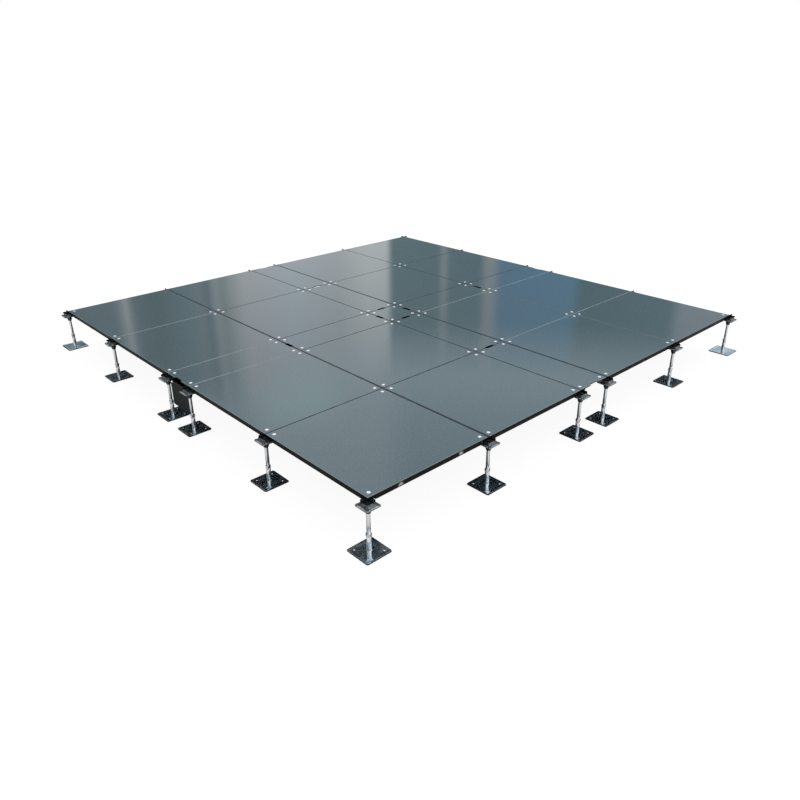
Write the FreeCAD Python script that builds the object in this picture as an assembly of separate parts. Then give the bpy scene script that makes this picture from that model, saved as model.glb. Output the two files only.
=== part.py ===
import FreeCAD, Part
import os
from math import cos, sin, radians

# Raised access floor section: sixteen cement-filled steel panels in four bays,
# parted by a cross of narrow cover plates, on a grid of thirty-six pedestals.
# Millimetres. Origin on the ground at the centre of the footprint, +Z up.

# ---- driving dimensions -------------------------------------------------
MODULE = 600.0            # main panel pitch
STRIP = 200.0             # width of the cable strips
FFH = 212.0               # finished floor height above the slab
SEAM = 2.4                # gap between neighbouring panels
PANEL_T = 24.0            # main panel, top face to pan bottom
SHEET_T = 2.5             # top sheet at the panel's lip
LIP = 2.0                 # how far the top sheet stands out past the pan
POCKET_R = 40.0           # quarter-round pocket at each corner, about the node
POCKET_ROOF = 6.0         # thin corner left over the pocket, which lies on the cap
SCREW_INSET = 25.0        # corner screw from both seams
HOLE_R = 3.3              # clearance hole for an M6 screw
SINK_R = 7.5              # countersink at the surface
COVER_T = 4.0             # strip cover sheet
COVER_FLANGE = 18.0       # depth of its folded sides
EDGE_R = 1.2              # rounded top edge of panels and covers
BOSS_R = 5.0              # post under a cover at each screw
SLOT_L, SLOT_W = 58.0, 18.0   # cable outlet across each seam of a strip
DIMPLES = 6               # pressed cups under a panel, each way
DIMPLE_PITCH = 85.0

BASE_A = 112.0            # base plate
BASE_T = 2.5              # its sheet
BASE_H = 5.0              # top of the turned-down rim
PAD_H = 5.8               # top of the pressed centre
BASE_HOLE = 36.0          # fixing holes from the axis, each way
BASE_HOLE_R = 3.5
TUBE_RO, TUBE_RI = 9.0, 7.6
TUBE_TOP = 64.0           # lower tube, which carries the levelling nut
STEM_R = 7.2              # threaded stem, major radius
STEM_LOW = 40.0           # its lower end, inside the tube
NUT_AF, NUT_T = 19.0, 10.0
HEAD_A = 64.0             # pedestal head, across its square rim
HEAD_T = 6.0              # underside of the rim to the screw seats
RIM_T = 4.0
SEAT_R = 6.5              # round seat at each screw
HUB_H = 12.0              # top of the hub above the seats
COLLAR_R, COLLAR_H = 12.0, 16.0   # socket below the head
COLLAR_TAPER = 10.0       # and its tapered end
CAP_A = 39.6              # cap block on the hub, across its flats
FIN_T, FIN_R, FIN_TOP = 1.1, 30.0, 0.5

TROUGH_W = 124.0          # outside width of the cable trough
TROUGH_BOTTOM = 148.0
TROUGH_T = 2.0
TROUGH_FLANGE = 84.0      # edge of the flange from the centre line
TROUGH_CLEAR_R = 34.0     # bite out of the flange round each head
TROUGH_L = 2592.0
END_T = 2.0
END_BOTTOM = 64.0         # the end plates hang lower than the trough, as aprons
END_W = 79.0              # half width of an apron, below the heads
END_STEP = 172.0          # above this it is no wider than the trough
RIVET_Z = 168.0

# ---- derived ------------------------------------------------------------
G = [-2 * MODULE - STRIP / 2, -MODULE - STRIP / 2, -STRIP / 2,
     STRIP / 2, MODULE + STRIP / 2, 2 * MODULE + STRIP / 2]
NODES = [(x, y) for x in G for y in G]
PAN_Z = FFH - PANEL_T                 # pan bottom = seats of the heads
HEAD_Z = PAN_Z - HEAD_T
HUB_Z = PAN_Z + HUB_H
CAP_Z = FFH - POCKET_ROOF              # top of the cap block = roofs of the pockets
V = FreeCAD.Vector
os.makedirs("parts", exist_ok=True)


def cyl(r, z0, z1, x=0.0, y=0.0):
    return Part.makeCylinder(r, z1 - z0, V(x, y, z0))


def cone(r0, r1, z0, z1, x=0.0, y=0.0):
    return Part.makeCone(r0, r1, z1 - z0, V(x, y, z0))


def box(x0, x1, y0, y1, z0, z1):
    return Part.makeBox(x1 - x0, y1 - y0, z1 - z0, V(x0, y0, z0))


def upright(e):
    a, b = e.Vertexes[0].Point, e.Vertexes[-1].Point
    return abs(a.x - b.x) < 1e-6 and abs(a.y - b.y) < 1e-6


def at_z(shape, z):
    return [e for e in shape.Edges
            if all(abs(v.Point.z - z) < 1e-6 for v in e.Vertexes)
            and abs(e.BoundBox.ZLength) < 1e-6]


def plate(hx, hy, z0, z1, rv, top=0.0, bottom=0.0):
    """Rectangular slab with rounded corners and, if asked, rounded rims."""
    s = box(-hx, hx, -hy, hy, z0, z1)
    s = s.makeFillet(rv, [e for e in s.Edges if upright(e)])
    if top:
        s = s.makeFillet(top, at_z(s, z1))
    if bottom:
        s = s.makeFillet(bottom, at_z(s, z0))
    return s


def obround(length, width, z0, z1, along_y=True):
    r = width / 2
    h = length / 2 - r
    s = box(-r, r, -h, h, z0, z1).fuse([cyl(r, z0, z1, 0, h), cyl(r, z0, z1, 0, -h)])
    s = s.removeSplitter()
    if not along_y:
        s.rotate(V(0, 0, 0), V(0, 0, 1), 90)
    return s


def put(shape, x=0.0, y=0.0, turn=0.0):
    s = shape.copy()
    if turn:
        s.rotate(V(0, 0, 0), V(0, 0, 1), turn)
    s.translate(V(x, y, 0))
    return s


def save(name, shapes):
    solids = []
    for s in (shapes if isinstance(shapes, list) else [shapes]):
        solids += s.Solids
    for s in solids:
        if not s.isValid() or s.Volume <= 0:
            raise RuntimeError("bad solid in " + name)
    out = solids[0] if len(solids) == 1 else Part.makeCompound(solids)
    out.exportStep("parts/" + name + ".step")
    print(name, len(solids), "solids", round(sum(s.Volume for s in solids) / 1000.0, 1), "cm3")


def screw_hole(x, y, z0):
    """Clearance hole with a 90 degree countersink at the floor surface."""
    s = cyl(HOLE_R, z0 - 1, FFH + 1, x, y)
    d = SINK_R - HOLE_R
    return s.fuse(cone(HOLE_R, SINK_R + 1, FFH - d, FFH + 1, x, y))


# ---- main panel: top sheet, pan and cement core welded into one piece -----
half = MODULE / 2 - SEAM / 2
sheet = plate(half, half, FFH - SHEET_T, FFH, 2.0, top=EDGE_R)
pan = plate(half - LIP, half - LIP, PAN_Z, FFH - SHEET_T, 3.0, bottom=4.0)
panel = sheet.fuse(pan)
tools = []
for sx in (-1, 1):
    for sy in (-1, 1):
        tools.append(cyl(POCKET_R, PAN_Z - 1, FFH - POCKET_ROOF, sx * MODULE / 2, sy * MODULE / 2))
        p = MODULE / 2 - SCREW_INSET
        tools.append(screw_hole(sx * p, sy * p, PAN_Z))
start = -(DIMPLES - 1) * DIMPLE_PITCH / 2
for i in range(DIMPLES):
    for j in range(DIMPLES):
        x, y = start + i * DIMPLE_PITCH, start + j * DIMPLE_PITCH
        tools.append(cone(31.0, 22.0, PAN_Z - 1, PAN_Z + 13, x, y))
# two shallow filling plugs on one side, at the quarter points of its length
for x in (-MODULE / 4, MODULE / 4):
    s = obround(18.0, 8.0, 0.0, 2.0, along_y=False)
    s.rotate(V(0, 0, 0), V(1, 0, 0), 90)
    s.translate(V(x, -(half - LIP) + 1.0, PAN_Z + 11.0))
    tools.append(s)
panel = panel.cut(tools)

bays = [(G[0] + G[1]) / 2, (G[1] + G[2]) / 2, (G[3] + G[4]) / 2, (G[4] + G[5]) / 2]
for i, col in enumerate("abcd"):
    for j in range(4):
        # filling plugs face a neighbour, except on two panels of the front row
        plugs_front = j == 3 or (j == 0 and col in "ad")
        save("panel_%s%d" % (col, j + 1), put(panel, bays[i], bays[j], 0 if plugs_front else 180))

# ---- strip covers: folded sheet with welded corner bosses ------------------


def cover(foot):
    hx, hy = MODULE / 2 - SEAM / 2, STRIP / 2 - SEAM / 2
    s = plate(hx, hy, FFH - COVER_T, FFH, 2.0, top=EDGE_R)
    add = []
    for sy in (-1, 1):
        y0, y1 = sorted((sy * (hy - 1.2), sy * (hy - 4.2)))
        add.append(box(-hx + 38, hx - 38, y0, y1, FFH - COVER_T - COVER_FLANGE, FFH - COVER_T))
    holes = []
    for sx in (-1, 1):
        for sy in (-1, 1):
            x, y = sx * (MODULE / 2 - SCREW_INSET), sy * (STRIP / 2 - SCREW_INSET)
            add.append(cyl(BOSS_R, foot, FFH - COVER_T, x, y))
            holes.append(screw_hole(x, y, foot))
    s = s.fuse(add)
    for sx in (-1, 1):
        holes.append(put(obround(SLOT_L, SLOT_W, FFH - COVER_T - 1, FFH + 1), sx * MODULE / 2, 0))
    return s.cut(holes)


trough_cover = cover(PAN_Z + TROUGH_T)      # stands on the trough's flange
strip_cover = cover(PAN_Z)                  # stands on the heads
for i in range(4):
    save("trough_cover_%d" % (i + 1), put(trough_cover, bays[i], 0))
    save("strip_cover_%d" % (i + 1), put(strip_cover, 0, bays[i], 90))

s = plate(STRIP / 2 - SEAM / 2, STRIP / 2 - SEAM / 2, FFH - COVER_T, FFH, 2.0, top=EDGE_R)
add, holes = [], []
for sx in (-1, 1):
    for sy in (-1, 1):
        x, y = sx * (STRIP / 2 - SCREW_INSET), sy * (STRIP / 2 - SCREW_INSET)
        add.append(cyl(BOSS_R, PAN_Z + TROUGH_T, FFH - COVER_T, x, y))
        holes.append(screw_hole(x, y, PAN_Z + TROUGH_T))
    holes.append(put(obround(SLOT_L, SLOT_W, FFH - COVER_T - 1, FFH + 1), sx * STRIP / 2, 0))
    holes.append(put(obround(SLOT_L, SLOT_W, FFH - COVER_T - 1, FFH + 1, along_y=False), 0, sx * STRIP / 2))
save("cross_cover", s.fuse(add).cut(holes))

# ---- pedestals -------------------------------------------------------------
# base plate: pressed sheet with a turned-down rim and a raised centre
h = BASE_A / 2
s = plate(h, h, 0, BASE_H, 8.0, top=2.4)
s = s.fuse(cone(24.0, 19.0, BASE_H - 0.5, PAD_H))
inside = plate(h - BASE_T, h - BASE_T, -1, BASE_H - BASE_T, 5.5)
inside = inside.fuse(cone(21.5, 17.0, BASE_H - BASE_T - 0.5, PAD_H - BASE_T))
tools = [inside, cyl(TUBE_RO + 0.05, 0, PAD_H + 1)]
for sx in (-1, 1):
    for sy in (-1, 1):
        tools.append(cyl(BASE_HOLE_R, -1, BASE_H + 1, sx * BASE_HOLE, sy * BASE_HOLE))
base = s.cut(tools)

# tube: stands through the pressed centre, with a flange under it
seat = PAD_H - BASE_T
tube = cyl(TUBE_RO, seat - 2.5, TUBE_TOP).fuse(cyl(12.0, seat - 2.5, seat))
tube = tube.cut(cyl(TUBE_RI, 0, TUBE_TOP + 1)).removeSplitter()

# levelling nut: hexagon with chamfered corners, lying on the tube's end
NUT_Z = TUBE_TOP
rc = NUT_AF / 2 / cos(radians(30))
pts = [V(rc * cos(radians(60 * k)), rc * sin(radians(60 * k)), NUT_Z) for k in range(7)]
nut = Part.Face(Part.makePolygon(pts)).extrude(V(0, 0, NUT_T))
rim = NUT_AF / 2 - 0.4
drop = (rc + 0.2 - rim) * 0.577
turned = cyl(rc + 0.2, NUT_Z + drop, NUT_Z + NUT_T - drop)
turned = turned.fuse([cone(rim, rc + 0.2, NUT_Z, NUT_Z + drop),
                      cone(rc + 0.2, rim, NUT_Z + NUT_T - drop, NUT_Z + NUT_T)])
nut = nut.common(turned).cut(cyl(STEM_R + 0.1, NUT_Z - 1, NUT_Z + NUT_T + 1))

# stem: threaded rod from the head's socket down through the nut into the tube
SOCKET_Z = HEAD_Z + 2.0
stem = cyl(STEM_R, STEM_LOW + 1.5, SOCKET_Z).fuse(cone(STEM_R - 1.5, STEM_R, STEM_LOW, STEM_LOW + 1.5))

# head: square rim, socket below, hipped hub flaring up from the rim, a seat at each screw


def rounded(h, r, z):
    """Outline of a square with rounded corners."""
    k, q = h - r, h - r + r * cos(radians(45))
    edges = []
    for i in range(4):
        c, d = round(cos(radians(90 * i))), round(sin(radians(90 * i)))

        def at(x, y):
            return V(c * x - d * y, d * x + c * y, z)
        edges.append(Part.makeLine(at(h, -k), at(h, k)))
        edges.append(Part.Arc(at(h, k), at(q, q), at(k, h)).toShape())
    return Part.Wire(edges)


RIM_Z = HEAD_Z + RIM_T
rim = plate(HEAD_A / 2, HEAD_A / 2, HEAD_Z, RIM_Z, 5.0, top=0.8, bottom=0.8)
# the hub draws in below the seats, clear of the posts under the covers
hub = Part.makeLoft([rounded(30.8, 6.0, RIM_Z - 0.5), rounded(24.0, 10.0, PAN_Z - 0.2),
                     rounded(20.8, 6.0, PAN_Z + 6.0), rounded(19.6, 6.0, HUB_Z)], True, True)
low_z = HEAD_Z - COLLAR_H - COLLAR_TAPER
add = [hub, cyl(COLLAR_R, HEAD_Z - COLLAR_H, HEAD_Z + 1), cone(9.2, COLLAR_R, low_z, HEAD_Z - COLLAR_H)]
tools = [cyl(STEM_R + 0.05, low_z - 1, SOCKET_Z), cyl(5.05, HUB_Z - 8, HUB_Z + 1)]
for sx in (-1, 1):
    for sy in (-1, 1):
        add.append(cyl(SEAT_R, HEAD_Z + 1, PAN_Z, sx * SCREW_INSET, sy * SCREW_INSET))
        tools.append(cyl(3.05, HEAD_Z - 1, PAN_Z + 1, sx * SCREW_INSET, sy * SCREW_INSET))
head = rim.fuse(add).cut(tools).removeSplitter()

# locating cap: block under the four thin corners, a spigot in the hub, four fins between the panels
cap = plate(CAP_A / 2, CAP_A / 2, HUB_Z, CAP_Z, 6.0, top=1.2)
cap = cap.fuse([cyl(5.0, HUB_Z - 7, HUB_Z + 1),
                box(-FIN_R, FIN_R, -FIN_T / 2, FIN_T / 2, CAP_Z - 2, FFH - FIN_TOP),
                box(-FIN_T / 2, FIN_T / 2, -FIN_R, FIN_R, CAP_Z - 2, FFH - FIN_TOP)])
cap = cap.removeSplitter()

for name, s in (("base_plates", base), ("threaded_stems", stem), ("levelling_nuts", nut),
                ("pedestal_tubes", tube), ("pedestal_heads", head), ("locating_caps", cap)):
    save(name, [put(s, x, y) for x, y in NODES])

# ---- countersunk corner screws ---------------------------------------------
top = FFH - 0.15
sr = 2.95
slope_r = HOLE_R + (top - (FFH - (SINK_R - HOLE_R))) - 0.1
low = top - (slope_r - sr)
screw = cone(sr, slope_r, low, top).fuse([cyl(sr, HEAD_Z - 1.0, low),
                                         cone(sr - 1.0, sr, HEAD_Z - 2.0, HEAD_Z - 1.0)])
spots = []
for i, (x0, x1) in enumerate(zip(G[:-1], G[1:])):
    for j, (y0, y1) in enumerate(zip(G[:-1], G[1:])):
        for x in (x0 + SCREW_INSET, x1 - SCREW_INSET):
            for y in (y0 + SCREW_INSET, y1 - SCREW_INSET):
                spots.append((x, y))
save("panel_screws", [put(screw, x, y) for x, y in spots])

# ---- cable trough under the strip along X -----------------------------------
hl, hw, t = TROUGH_L / 2, TROUGH_W / 2, TROUGH_T
top_z = PAN_Z + t
outer = box(-hl, hl, -hw, hw, TROUGH_BOTTOM, top_z)
inner = box(-hl - 1, hl + 1, -hw + t, hw - t, TROUGH_BOTTOM + t, top_z + 1)


def fold_edges(shape, places):
    out = []
    for e in shape.Edges:
        p = e.CenterOfMass
        if e.BoundBox.XLength > 2000 and any(abs(p.y - y) < 1e-4 and abs(p.z - z) < 1e-4 for y, z in places):
            out.append(e)
    return out


outer = outer.makeFillet(4.0, fold_edges(outer, [(-hw, TROUGH_BOTTOM), (hw, TROUGH_BOTTOM)]))
inner = inner.makeFillet(2.0, fold_edges(inner, [(-hw + t, TROUGH_BOTTOM + t), (hw - t, TROUGH_BOTTOM + t)]))
trough = outer.cut(inner)
wings = [box(-hl, hl, hw - 0.5, TROUGH_FLANGE, PAN_Z, top_z),
         box(-hl, hl, -TROUGH_FLANGE, -hw + 0.5, PAN_Z, top_z)]
trough = trough.fuse(wings).removeSplitter()
tools = []
for x in G:
    for sy in (-1, 1):
        tools.append(cyl(TROUGH_CLEAR_R, PAN_Z - 1, top_z + 1, x, sy * STRIP / 2))
        for sx in (-1, 1):
            if abs(x + sx * SCREW_INSET) < hl:
                tools.append(cyl(3.5, PAN_Z - 1, top_z + 1, x + sx * SCREW_INSET, sy * (STRIP / 2 - SCREW_INSET)))
rivets = []
for sx in (-1, 1):
    for sy in (-1, 1):
        hole = cyl(2.05, 0, t + 2)
        hole.rotate(V(0, 0, 0), V(1, 0, 0), -90 * sy)
        hole.translate(V(sx * (hl - 12), sy * (hw - t - 1), RIVET_Z))
        tools.append(hole)
        # blind rivet: domed head outside the wall, set end inside the tab
        r = cyl(2.0, -4.0, t).fuse([cyl(4.2, t, t + 0.8), cone(4.2, 2.4, t + 0.8, t + 1.9), cyl(3.2, -5.6, -2.0)])
        r.rotate(V(0, 0, 0), V(1, 0, 0), -90 * sy)
        r.translate(V(sx * (hl - 12), sy * (hw - t), RIVET_Z))
        rivets.append(r)
save("cable_trough", trough.cut(tools))
save("trough_rivets", rivets)

for name, sx in (("trough_end_left", -1), ("trough_end_right", 1)):
    x0, x1 = sorted((sx * hl, sx * (hl + END_T)))
    e = box(x0, x1, -END_W, END_W, END_BOTTOM, END_STEP)
    e = e.makeFillet(4.0, [q for q in e.Edges if q.BoundBox.XLength > 1 and q.BoundBox.YLength < 1e-4])
    tabs, drill = [box(x0, x1, -hw, hw, END_STEP - 6.0, PAN_Z - 1.0)], []
    for sy in (-1, 1):
        y0, y1 = sorted((sy * (hw - t), sy * (hw - 2 * t)))
        a0, a1 = sorted((sx * (hl - 24), sx * hl))
        tabs.append(box(a0, a1, y0, y1, RIVET_Z - 12.0, RIVET_Z + 14.0))
        hole = cyl(2.05, -6, 3)
        hole.rotate(V(0, 0, 0), V(1, 0, 0), -90 * sy)
        hole.translate(V(sx * (hl - 12), sy * (hw - t), RIVET_Z))
        drill.append(hole)
    save(name, e.fuse(tabs).cut(drill).removeSplitter())
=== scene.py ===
import math
import random

import bpy
import numpy as np
from mathutils import Matrix, Vector
from mathutils.geometry import delaunay_2d_cdt


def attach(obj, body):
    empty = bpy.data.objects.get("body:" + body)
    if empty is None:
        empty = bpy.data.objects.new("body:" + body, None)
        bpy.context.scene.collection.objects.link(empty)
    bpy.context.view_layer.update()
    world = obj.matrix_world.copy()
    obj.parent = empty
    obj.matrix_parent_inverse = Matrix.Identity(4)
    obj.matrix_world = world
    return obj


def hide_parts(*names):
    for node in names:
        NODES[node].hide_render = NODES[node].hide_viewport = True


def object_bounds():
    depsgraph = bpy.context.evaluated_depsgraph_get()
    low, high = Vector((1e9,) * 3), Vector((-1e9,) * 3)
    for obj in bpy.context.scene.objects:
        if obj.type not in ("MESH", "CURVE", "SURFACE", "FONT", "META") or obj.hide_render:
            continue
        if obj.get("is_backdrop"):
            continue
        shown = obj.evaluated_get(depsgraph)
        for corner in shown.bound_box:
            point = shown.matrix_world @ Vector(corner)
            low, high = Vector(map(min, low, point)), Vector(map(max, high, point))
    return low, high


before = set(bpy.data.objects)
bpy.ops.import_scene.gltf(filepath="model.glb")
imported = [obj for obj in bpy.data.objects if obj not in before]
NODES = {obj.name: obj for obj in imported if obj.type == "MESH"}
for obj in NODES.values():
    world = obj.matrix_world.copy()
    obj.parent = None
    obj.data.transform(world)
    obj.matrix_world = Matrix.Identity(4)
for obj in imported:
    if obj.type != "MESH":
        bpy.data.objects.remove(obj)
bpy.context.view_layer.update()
scene = bpy.context.scene

# ---------------------------------------------------------------- dimensions
# millimetres, the same as the solids
G = [-1300.0, -700.0, -100.0, 100.0, 700.0, 1300.0]
GRID = [(x, y) for x in G for y in G]
FFH = 212.0
PAN_Z = 188.0
HEAD_Z = 182.0
HUB_Z = 200.0
CAP_Z = 206.0
INSET = 25.0

# ---------------------------------------------------------------- mesh tools


class Shell:
    """Vertices and faces of one piece, in millimetres."""

    def __init__(self):
        self.v = []
        self.f = []

    def add(self, pts):
        i = len(self.v)
        self.v.extend([tuple(map(float, p)) for p in pts])
        return list(range(i, len(self.v)))

    def bridge(self, a, b):
        n = len(a)
        for k in range(n):
            q = (k + 1) % n
            self.f.append((a[k], a[q], b[q], b[k]))

    def loft(self, loops):
        rings = [self.add(p) for p in loops]
        for a, b in zip(rings[:-1], rings[1:]):
            self.bridge(a, b)
        return rings

    def cap(self, ring, flip=False):
        self.f.append(tuple(reversed(ring)) if flip else tuple(ring))

    def fill(self, outer, holes, up=True):
        """Flat face between the ring outer and the rings in holes."""
        rings = [outer] + holes
        ids = [i for r in rings for i in r]
        pts = [Vector(self.v[i][:2]) for i in ids]
        edges, at = [], 0
        for r in rings:
            n = len(r)
            edges += [(at + k, at + (k + 1) % n) for k in range(n)]
            at += n
        out = delaunay_2d_cdt(pts, edges, [], 0, 1e-6)
        polys = [np.array([self.v[i][:2] for i in r]) for r in rings]
        for tri in out[2]:
            src = [ids[out[3][k][0]] for k in tri]
            c = np.mean([self.v[i][:2] for i in src], axis=0)
            if not inside(c, polys[0]) or any(inside(c, p) for p in polys[1:]):
                continue
            a, b, d = (np.array(self.v[i][:2]) for i in src)
            area = (b[0] - a[0]) * (d[1] - a[1]) - (b[1] - a[1]) * (d[0] - a[0])
            if (area > 0) != up:
                src = src[::-1]
            self.f.append(tuple(src))


def inside(p, poly):
    x, y = p
    x0, y0 = poly[:, 0], poly[:, 1]
    x1, y1 = np.roll(x0, -1), np.roll(y0, -1)
    hit = (y0 > y) != (y1 > y)
    with np.errstate(divide="ignore", invalid="ignore"):
        cross = x < (x1 - x0) * (y - y0) / (y1 - y0) + x0
    return bool(np.count_nonzero(hit & cross) % 2)


def circle(r, z, n=32, x=0.0, y=0.0, turn=0.0):
    return [(x + r * math.cos(turn + 2 * math.pi * k / n),
             y + r * math.sin(turn + 2 * math.pi * k / n), z) for k in range(n)]


def square(h, r, z, n=6):
    """Rounded square of half side h and corner radius r."""
    out = []
    for q in range(4):
        a0 = q * math.pi / 2
        cx = (h - r) * (1 if q in (0, 3) else -1)
        cy = (h - r) * (1 if q in (0, 1) else -1)
        for k in range(n + 1):
            a = a0 + (math.pi / 2) * k / n
            out.append((cx + r * math.cos(a), cy + r * math.sin(a), z))
    return out


def lathe(sh, profile, n=32):
    """Turned surface through (radius, height) points; a radius of 0 closes it."""
    rings = []
    for r, z in profile:
        rings.append(sh.add([(0, 0, z)]) if r == 0 else sh.add(circle(r, z, n)))
    for a, b in zip(rings[:-1], rings[1:]):
        if len(a) == 1:
            for k in range(n):
                sh.f.append((a[0], b[(k + 1) % n], b[k]))
        elif len(b) == 1:
            for k in range(n):
                sh.f.append((a[k], a[(k + 1) % n], b[0]))
        else:
            sh.bridge(a, b)
    return rings


def slab(sh, x0, x1, y0, y1, z0, z1, b=0.25):
    """Box with bevelled edges."""
    cx, cy, hx, hy = (x0 + x1) / 2, (y0 + y1) / 2, (x1 - x0) / 2, (y1 - y0) / 2

    def ring(ix, z):
        pts = []
        for sx, sy in ((1, -1), (1, 1), (-1, 1), (-1, -1)):
            if sx == sy:
                c = [(hx, hy - b), (hx - b, hy)]
            else:
                c = [(hx - b, hy), (hx, hy - b)]
            for px, py in c:
                pts.append((cx + sx * (px - ix), cy + sy * (py - ix), z))
        return pts
    rings = sh.loft([ring(b * 0.7, z0), ring(0, z0 + b), ring(0, z1 - b), ring(b * 0.7, z1)])
    sh.cap(rings[0], flip=True)
    sh.cap(rings[-1])


def piece(name, sh, copies, body, node, material, sharp=38.0, turns=None):
    """One object holding a copy of the shell at each place, which stands for the node."""
    v = np.array(sh.v)
    allv, allf = [], []
    for k, (x, y) in enumerate(copies):
        w = v.copy()
        if turns is not None:
            c, s = math.cos(turns[k]), math.sin(turns[k])
            w[:, 0], w[:, 1] = c * v[:, 0] - s * v[:, 1], s * v[:, 0] + c * v[:, 1]
        w[:, 0] += x
        w[:, 1] += y
        allv.append(w)
        base = k * len(v)
        allf.extend([tuple(i + base for i in f) for f in sh.f])
    me = bpy.data.meshes.new(name)
    me.from_pydata((np.concatenate(allv) / 1000.0).tolist(), [], allf)
    me.validate()
    me.shade_smooth()
    me.set_sharp_from_angle(angle=math.radians(sharp))
    ob = bpy.data.objects.new(name, me)
    scene.collection.objects.link(ob)
    me.materials.append(material)
    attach(ob, body)
    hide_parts(node)
    return ob


# ---------------------------------------------------------------- node tools


def new_material(name):
    m = bpy.data.materials.new(name)
    m.use_nodes = True
    nt = m.node_tree
    nt.nodes.clear()
    out = nt.nodes.new("ShaderNodeOutputMaterial")
    bs = nt.nodes.new("ShaderNodeBsdfPrincipled")
    nt.links.new(bs.outputs[0], out.inputs[0])
    return m, nt, bs


def link(nt, a, b):
    nt.links.new(a, b)


def val(nt, socket, x):
    if hasattr(x, "is_linked"):
        nt.links.new(x, socket)
    else:
        socket.default_value = x


def math_node(nt, op, a, b=0.0, c=None, clamp=False):
    n = nt.nodes.new("ShaderNodeMath")
    n.operation = op
    n.use_clamp = clamp
    val(nt, n.inputs[0], a)
    val(nt, n.inputs[1], b)
    if c is not None:
        val(nt, n.inputs[2], c)
    return n.outputs[0]


def mix_color(nt, f, a, b):
    n = nt.nodes.new("ShaderNodeMix")
    n.data_type = "RGBA"
    val(nt, n.inputs[0], f)
    for s, x in ((n.inputs[6], a), (n.inputs[7], b)):
        if hasattr(x, "is_linked"):
            nt.links.new(x, s)
        else:
            s.default_value = (*x, 1.0)
    return n.outputs[2]


def mix_value(nt, f, a, b):
    n = nt.nodes.new("ShaderNodeMix")
    n.data_type = "FLOAT"
    val(nt, n.inputs[0], f)
    val(nt, n.inputs[2], a)
    val(nt, n.inputs[3], b)
    return n.outputs[0]


def ramp(nt, f, stops, mode="LINEAR"):
    n = nt.nodes.new("ShaderNodeValToRGB")
    n.color_ramp.interpolation = mode
    e = n.color_ramp.elements
    while len(e) > 1:
        e.remove(e[-1])
    e[0].position, e[0].color = stops[0][0], (*stops[0][1], 1.0)
    for p, c in stops[1:]:
        q = e.new(p)
        q.color = (*c, 1.0)
    nt.links.new(f, n.inputs[0])
    return n.outputs[0]


def grey(x):
    return (x, x, x)


def noise(nt, vec, scale, detail=2.0, rough=0.5, dist=0.0):
    n = nt.nodes.new("ShaderNodeTexNoise")
    n.inputs["Scale"].default_value = scale
    n.inputs["Detail"].default_value = detail
    n.inputs["Roughness"].default_value = rough
    n.inputs["Distortion"].default_value = dist
    nt.links.new(vec, n.inputs["Vector"])
    return n.outputs["Fac"]


def coords(nt):
    return nt.nodes.new("ShaderNodeTexCoord").outputs["Object"]


def stretch(nt, vec, s):
    n = nt.nodes.new("ShaderNodeVectorMath")
    n.operation = "MULTIPLY"
    nt.links.new(vec, n.inputs[0])
    n.inputs[1].default_value = s
    return n.outputs[0]


def bump(nt, height, distance, strength=1.0, normal=None):
    n = nt.nodes.new("ShaderNodeBump")
    n.inputs["Strength"].default_value = strength
    n.inputs["Distance"].default_value = distance
    nt.links.new(height, n.inputs["Height"])
    if normal is not None:
        nt.links.new(normal, n.inputs["Normal"])
    return n.outputs[0]


def step(nt, x, lo, hi):
    """Smooth 0 to 1 between lo and hi."""
    n = nt.nodes.new("ShaderNodeMapRange")
    n.interpolation_type = "SMOOTHSTEP"
    n.clamp = True
    val(nt, n.inputs[0], x)
    n.inputs[1].default_value = lo
    n.inputs[2].default_value = hi
    n.inputs[3].default_value = 0.0
    n.inputs[4].default_value = 1.0
    return n.outputs[0]


# ---------------------------------------------------------------- materials


def near_line(nt, a, at):
    """Distance from the lines at plus and minus each value in at."""
    m = math_node(nt, "ABSOLUTE", a)
    ds = [math_node(nt, "ABSOLUTE", math_node(nt, "SUBTRACT", m, v)) for v in at]
    return math_node(nt, "MINIMUM", ds[0], ds[1])


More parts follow.
